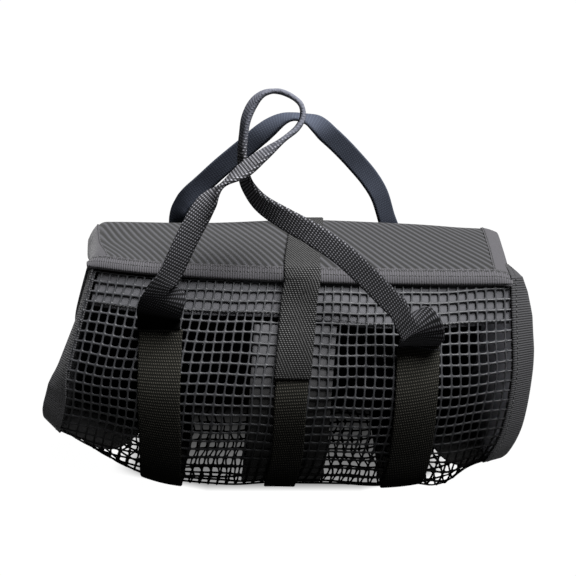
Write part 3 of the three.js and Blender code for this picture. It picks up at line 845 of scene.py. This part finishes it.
for inset, wander in ((9.4, 0.9), (5.2, 0.3)):
    zigzag = inset + wander * np.sign(np.sin(np.arange(1300) * math.pi / 4))
    place, _, _, out = frame_on(flap, np.linspace(0.003, 0.997, 1300), flap_run(FOLD_MM[-1] - zigzag))
    tapes.append(stitches(place + (HEM_GAP + 0.5) * out, out))
make_piece("flap_binding_tape", together(tapes), [flap_tape, flap_tape, thread], "flap_binding")

# %% End bindings
# girth readings, and the lean in degrees or the width in mm at each
LEANS = {"left": ([0, 0.1, 0.2, 0.28, 0.34, 0.4, 0.5, 0.65, 1], [58, 55, 36, 12, 9, 17, 25, 15, 0]),
         "right": ([0, 0.06, 0.15, 1], [12, 4, 0, 0])}
WIDTHS = {"left": ([0, 0.22, 0.3, 0.36, 0.42, 1], [16.4, 16.4, 18.4, 18.8, 16.4, 16.4]),
          "right": ([-0.1, -0.03, 0, 0.03, 0.08, 0.15, 0.38, 0.46, 0.6, 0.85, 1],
                    [2, 5, 9, 12.5, 15.5, 16.4, 16.4, 12, 14, 14, 4])}
FLANGE_START, FLANGE_WIDTH = -2.0, 16.4
UNDER_FLAP = [[148, -12, 150], [154.5, -27, 152], [157.5, -42, 152.5]]
profile = hairpin(FLANGE_WIDTH, TAPE_GAP)
for end, u_edge, sign in (("left", 0.0, -1), ("right", 1.0, 1)):
    v = np.linspace(0, 0.994, 260)
    place, across, along, out = frame_on(body, np.full(v.shape, u_edge), v)
    if end == "right":
        # above the wall the seam goes on under the flap's edge
        hidden = line_at(np.array([*UNDER_FLAP, place[0]]), np.linspace(0, 1, 40))[:-1]
        along = np.concatenate([unit(np.gradient(hidden, axis=0)), along])
        across = np.concatenate([np.broadcast_to(across[0], hidden.shape), across])
        place, v = np.concatenate([hidden, place]), np.concatenate([np.linspace(-0.1, 0, 40)[:-1], v])
        out = unit(np.cross(along, across))
    lean = np.radians(np.interp(v, *LEANS[end]))[:, None]
    outward = unit(sign * np.cos(lean) * across - np.sin(lean) * out)
    up = unit(np.cross(along, outward)) * sign
    reach = FLANGE_START + np.interp(v, *WIDTHS[end])[:, None] * (1 - profile[0] / FLANGE_WIDTH)
    spots = place[:, None] + outward[:, None] * reach[..., None]
    wide, high = (np.broadcast_to(a[:, None], spots.shape) for a in (outward, up))
    binding = folded_tape(spots, -wide, high, profile, lengths(place))
    seam = stitches(place + 1.5 * outward + (TAPE_GAP + 0.5) * up, up)
    make_piece(f"end_binding_tape_{end}", together([binding, seam]), [shaded_end_tape, shaded_end_tape, thread],
               f"end_binding_{end}")

# %% [markdown]
# ## Inner bands
# Behind the net's top edge and behind the middle strap lies a band of plain lining cloth. It stops the net
# from tearing where it is sewn, and it shows grey through the holes.

# %% Top band
BAND_INSET, BAND_HALF = 1.35, 0.5


def band_foot(share):
    """Depth of the top band in mm: 25 on the left and 32 on the right, with a smooth step between."""
    return 25 + 7 * smooth_step(share, 0.45, 0.7)


share = np.linspace(0.012, 0.99, 161)
run = band_foot(share)[None, :] * np.linspace(0, 1, 13)[:, None]
place, _, _, out = frame_on(body, *net_spot(np.broadcast_to(share, run.shape), run))
band = slab(place - BAND_INSET * out, out, BAND_HALF, np.stack([place[..., 0], run], -1))
top_band = make_piece("top_band_cloth", band, [band_lining], "inner_top_band")
share = np.linspace(0.03, 0.97, 900)
drop = band_foot(share) - 2.5 + 0.5 * np.sign(np.sin(np.arange(900) * 0.7))
seam, _, _, out = frame_on(body, *net_spot(share, drop))
seam = seam + (0.8 + net_ripple(share, drop))[:, None] * out
make_piece("band_stitching", stitches(seam, out, 3.0, 1.2, 1.0), [thread], "inner_top_band")

# %% Centre band
CENTRE_BAND = 55


def strip_on_body(centre, width, v, columns):
    """Readings of a strip of even width round the body: its centre plus a distance over the local size."""
    q = np.linspace(-width / 2, width / 2, columns)
    middle = np.full(v.shape, centre)
    local = np.linalg.norm(body(middle + NEAR, v) - body(middle - NEAR, v), axis=-1) / (2 * NEAR)
    return q, centre + q[None, :] / local[:, None]


v = np.linspace(0.071, 0.64, 200)
q, u = strip_on_body(0.5, CENTRE_BAND, v, 25)
place, _, _, out = frame_on(body, u, v[:, None])
run = lengths(place[:, 12])
band = slab(place - BAND_INSET * out, out, BAND_HALF, strip_map(q, run))
centre_band = make_piece("centre_band_cloth", band, [centre_lining], "inner_centre_band")

# %% [markdown]
# ## Webbing
# Straps and handles are polypropylene webbing: coarse yarns in rows of short floats, staggered from row to
# row, between two plain selvedges. The floats are painted light and the gaps nearly black, as painted sheen
# and shade. Real rows are about 1 mm apart, too fine to show, so they are drawn coarser. The handles' copy is
# painted lighter as sheen, the straps' and the back handle's darker as shade, and most copies are painted
# darker low down as shade.

# %% Webbing material
ROW, FLOAT = 1.6, 2.1


def woven_webbing(name, low, high, relief, painted_shade_below, foot=(-2, -1), worn=(9, 10), worn_tone="#000000"):
    """Floats where two waves meet, one across and one along, painted light on the floats and dark in the
    gaps;
    with painted shade low down and near its foot, and smooth where a hand wore it.

    the painted shade low down: two heights in m and the tone's share below them; foot, the painted shade near
    the start: two lengths in mm; worn: two heights in m.
    """
    material, tree = new_material(name)
    cloth = add(tree, "UVMap", uv_map="cloth")
    flat = add(tree, "SeparateXYZ", {0: cloth})
    waves = []
    for one, other, slope, pitch in ((0, 1, -0.266, ROW), (1, 0, 0.06, FLOAT)):
        slant = add(tree, "Math", {0: flat.outputs[other], 1: slope, 2: flat.outputs[one]},
                    operation="MULTIPLY_ADD")
        waves.append(ripple(tree, slant, pitch, -0.8))
    height = add(tree, "Math", dict(enumerate(waves)), operation="MULTIPLY")
    yarns = add(tree, "TexNoise", {"Vector": cloth, "Scale": 1.3, "Detail": 3.0})
    # painted sheen and shade: the colour is light on the floats and near black in the gaps
    gleam = add(tree, "Math", {0: height, 1: yarns}, operation="MULTIPLY")
    shade = add(tree, "MapRange", {0: gleam, 1: 0.05, 2: 0.5})
    dry = add(tree, "Mix", {0: shade, 6: low, 7: high}, data_type="RGBA")
    grip = above(tree, *worn)
    face = add(tree, "Mix", {0: grip, 6: dry.outputs[2], 7: worn_tone}, data_type="RGBA")
    # painted shade near the start of the webbing, at the handle's left foot, where its fold overhangs
    off_painted_foot_shade = add(tree, "MapRange", {0: flat.outputs[1], 1: foot[0], 2: foot[1]})
    out_of_painted_shade = add(tree, "Math", {0: above(tree, *painted_shade_below), 1: off_painted_foot_shade}, operation="MULTIPLY")
    tone = add(tree, "Mix", {0: out_of_painted_shade, 6: PAINTED_SHADE_TONE, 7: face.outputs[2]}, data_type="RGBA")
    end_material(tree, tone, (height, 0.0006, relief), 0.65, 0.0)
    return material


# shaded and lit copies of one webbing: the straps' copy is painted darker as shade, and below 0.1 m darker
# still as painted shade
shaded_strap_webbing = woven_webbing("polypropylene webbing, woven tight, painted darker as shade", "#080807", "#22211e", 0.6,
                              (0.02, 0.1, 0.12))
# the closure strap is painted darker below 0.125 m, as painted shade
closure_webbing = woven_webbing("polypropylene webbing, woven with a looser face", "#090909", "#373737", 0.6,
                                (0.095, 0.125, 0.35))
# the handles' copy is painted lighter as sheen, with painted shade below 0.25 m and at its left foot
handle_webbing = woven_webbing("polypropylene webbing, woven and brushed by use", "#171718", "#5a5a5e", 0.45,
                               (0.17, 0.25, 0.28), (14, 42), (0.24, 0.262), "#313237")
# a copy of the webbing painted darker and bluish, as painted shade with a painted reflection of the sky
shaded_back_webbing = woven_webbing("polypropylene webbing, woven, its smooth face out", "#1d1f25", "#25292f", 0.2,
                             (0.1, 0.25, 1.0))

# %% [markdown]
# ## Straps
# Three straps lie flat on the body, from the front under the bottom and up the back, so they follow its
# surface a little way out. The closure strap crosses from the back over the flap to the front, so it follows
# a smooth line through points taken from both surfaces.

# %% Straps round the body
WEBBING_HALF, WEBBING_OUT = 0.8, 2.1


def webbing_half(q, width):
    """Half thickness across webbing: full in the middle, rounded off over the last millimetre."""
    past = np.clip(abs(q) - width / 2 + 1, 0, 1)
    return WEBBING_HALF * np.sqrt(1 - 0.9 * past**2) + 0.06 * np.cos(2 * math.pi * q / ROW) * (1 - past)


LEFT_STITCH, RIGHT_STITCH, BACK_STITCH, BACK_END = 0.088, 0.116, 0.925, 0.935
LEFT_SHARE, RIGHT_SHARE = 0.25, 0.75
for name, centre, width, start, stop, node in (
        ("left_girth_webbing", LEFT_SHARE, 30, LEFT_STITCH - 0.004, BACK_END, "girth_strap_left"),
        ("right_girth_webbing", RIGHT_SHARE, 30, RIGHT_STITCH - 0.004, BACK_END, "girth_strap_right"),
        ("centre_webbing", 0.5, 22, 0.06, 0.915, "centre_strap")):
    v = np.linspace(start, stop, 260)
    q, u = strip_on_body(centre, width, v, 41)
    place, _, _, out = frame_on(body, u, v[:, None])
    run = lengths(place[:, 20])
    strap = slab(place + WEBBING_OUT * out, out, webbing_half(q, width)[None, :], strip_map(q, run))
    make_piece(name, strap, [shaded_strap_webbing], node)
    print(name, "is", width, "mm wide and", round(run[-1]), "mm long")

# %% Closure strap
def lifted(surface, u, v, away):
    """Points of a surface moved outward by a distance."""
    place, _, _, out = frame_on(surface, np.full(len(v), u), np.array(v))
    return place + away * out


closure_points = np.concatenate([
    lifted(body, 0.515, [0.922, 0.945, 0.97], WEBBING_OUT),
    lifted(flap, 0.5, [0.03, 0.12, 0.25, 0.4, 0.55, 0.7, 0.82, 0.92, 0.99], 3.4),
    lifted(body, 0.5, [0.03, 0.06, 0.095, 0.13, 0.165], 4.2),
])
CLOSURE_WIDE, SIDEWAYS = 25, np.array([1.0, 0, 0])
path = line_at(closure_points, np.linspace(0, 1, 240))
q = np.linspace(-CLOSURE_WIDE / 2, CLOSURE_WIDE / 2, 35)
place = path[:, None] + q[None, :, None] * SIDEWAYS
ahead = unit(np.gradient(path, axis=0))
out = np.broadcast_to(unit(np.cross(ahead, SIDEWAYS))[:, None], place.shape)
run = lengths(path)
# this strap is woven coarser across and finer along, so its map is scaled
strap = slab(place, out, webbing_half(q, CLOSURE_WIDE)[None, :], strip_map(q * 0.8, run * 1.5))
make_piece("closure_webbing", strap, [closure_webbing], "closure_strap")
print("closure strap is", round(run[-1]), "mm long")

# %% [markdown]
# ## Handles
# Each handle is one length of the same webbing, folded in half along its middle for the hand and opened
# flat at its feet. The profile is half of the width flat and half turned over behind it, by an angle that
# grows from nothing at the stitched foot to a full fold.

# %% Handle lines, in mm: x, y, z and twist in degrees
FRONT_LINE = [
    [-87.5, -80, 131.5, 0], [-86, -89, 138.5, 0], [-83, -93, 147.5, 0], [-81.5, -95, 159, -4],
    [-76.5, -93, 169.5, -8], [-67.5, -89, 188.5, -6], [-59.5, -86, 203.5, 8], [-52, -84, 214.5, 44],
    [-42.5, -81, 224, 97], [-28.5, -77, 233.5, 66], [-16, -73, 242.5, 76], [-3, -69, 251.5, 97],
    [6.5, -65, 258.5, 95], [10.5, -61, 265.5, 90], [9.5, -58, 273, 86], [3.5, -55, 278, 80],
    [-5.5, -53, 281, 78], [-14.5, -53, 280, 86], [-22, -53, 273.5, 101], [-27, -54, 263.5, 105],
    [-29, -55, 252, 104], [-30, -57, 239, 106], [-28.5, -60, 224, 119], [-24, -64, 215, 132],
    [-16, -69, 207, 150], [-1.5, -77, 199.5, 172], [17, -84, 190.5, 186], [36, -89, 178.5, 192],
    [53, -93, 163.5, 192], [69, -96, 147.5, 190], [79, -99, 139.5, 187], [88.5, -102, 132, 183],
    [91, -99.5, 125.5, 181], [91, -94.5, 119.5, 180]]
BACK_LINE = [
    [-88, 80, 136, 0], [-87.5, 74, 158.5, 34], [-82.5, 70, 170.5, 30], [-76, 67, 179, 16],
    [-65, 64, 189.5, 6], [-51, 60, 203, 4], [-32, 56, 219.5, 4], [-19.5, 53, 230.5, 20], [-6, 51, 240, 60],
    [4.5, 50, 243.5, 86], [14.5, 50, 242, 78], [23.5, 50, 238, 40], [33, 52, 229.5, 8], [43, 55, 219.5, 6],
    [54, 59, 207, 8], [65, 63, 193, 16], [73.5, 67, 178, 24], [80, 73, 157.5, 26], [87, 80, 136, 0]]


def foot_row(u, v, away, turn=0):
    """Row of a handle's line on the wall, with the twist that lays the webbing on it, plus a turn."""
    place, across, _, out = (a[0] for a in frame_on(body, np.array([u]), np.array([v])))
    twist = np.sign(u - 0.5) * np.degrees(np.arctan2(across[1], across[0]))
    return [*(place + (WEBBING_OUT + away) * out), twist + turn]


# %% Folded webbing
HANDLE_WIDE, HANDLE_COLUMNS, HANDLE_ROWS, FOLD_RADIUS = 30, 45, 360, 0.9


def folded_profile(q, angle):
    """Across and height of webbing whose second half turns by an angle on a small radius, and its normal."""
    bend = FOLD_RADIUS * angle
    along = q + bend / 2
    theta = np.clip(along / FOLD_RADIUS, 0, angle)
    past = np.maximum(along - bend, 0)
    x = np.where(along < 0, along, FOLD_RADIUS * np.sin(theta) + past * np.cos(angle))
    h = np.where(along < 0, 0, FOLD_RADIUS * (1 - np.cos(theta)) + past * np.sin(angle))
    return x, h, -np.sin(theta), np.cos(theta)


def handle(name, rows, opening, half_turn, material, node):
    """Webbing along a line: its width turned by the twist, and folded in half away from its feet.

    With a half turn the right leg shows its second half, and the first swings out from behind it at the foot.
    While the hidden half swings, its depth is pressed to about half, so that it stays off the wall.
    """
    read = line_at(np.array(rows), np.linspace(0, 1, HANDLE_ROWS))
    path, twist = read[:, :3], np.radians(read[:, 3])[:, None]
    run = lengths(path)
    ahead, depth = unit(np.gradient(path, axis=0)), np.array([0, 1.0, 0])

    def turned(by):
        wide = np.cos(by) * unit(np.cross(ahead, depth)) + np.sin(by) * depth
        wide = unit(wide - ahead * (wide * ahead).sum(-1, keepdims=True))
        return wide, unit(np.cross(ahead, wide))

    shut_left, shut_right = smooth_step(run, *opening[0]), smooth_step(run[-1] - run, *opening[1])
    fold = (shut_left * shut_right)[:, None]
    leg_wide, leg_out = turned(twist)
    wide, out = turned(twist - half_turn * math.pi * (1 - shut_right[:, None]))
    q = np.linspace(-HANDLE_WIDE / 2, HANDLE_WIDE / 2, HANDLE_COLUMNS)
    x, h, normal_x, normal_h = folded_profile(np.broadcast_to(q, (len(run), len(q))), math.pi * fold)
    spine = (path - 7 * fold * leg_wide + FOLD_RADIUS * fold * leg_out)[:, None]
    place = spine - x[..., None] * wide[:, None] - h[..., None] * out[:, None]
    front = leg_out * np.where(half_turn * run > run[-1] / 2, -1, 1)[:, None]
    behind = np.minimum(((place - spine) * front[:, None]).sum(-1), 0)
    place = place - (0.45 * np.sin(math.pi * fold) * behind)[..., None] * front[:, None]
    normal = normal_x[..., None] * wide[:, None] + normal_h[..., None] * out[:, None]
    ribbon = slab(place, unit(normal), webbing_half(q, HANDLE_WIDE)[None, :], strip_map(q, run))
    print(name, "is", round(run[-1]), "mm long")
    return make_piece(name, ribbon, [material], node)


# %% Handles
# opening holds, for each foot, the lengths in mm between which the webbing folds up
handle("front_handle_webbing",
       [foot_row(LEFT_SHARE, LEFT_STITCH, 0.5), foot_row(LEFT_SHARE, LEFT_STITCH - 0.016, 1.6), *FRONT_LINE,
        foot_row(RIGHT_SHARE, RIGHT_STITCH - 0.008, 1.2, 180), foot_row(RIGHT_SHARE, RIGHT_STITCH, 0.5, 180)],
       ((33, 54), (28, 52)), 1, handle_webbing, "front_handle")
handle("back_handle_webbing",
       [foot_row(LEFT_SHARE, BACK_STITCH, 1.6), foot_row(LEFT_SHARE, BACK_STITCH + 0.012, 2.4), *BACK_LINE,
        foot_row(RIGHT_SHARE, BACK_STITCH + 0.012, 2.4), foot_row(RIGHT_SHARE, BACK_STITCH, 1.6)],
       ((12, 45), (12, 45)), 0, shaded_back_webbing, "back_handle")
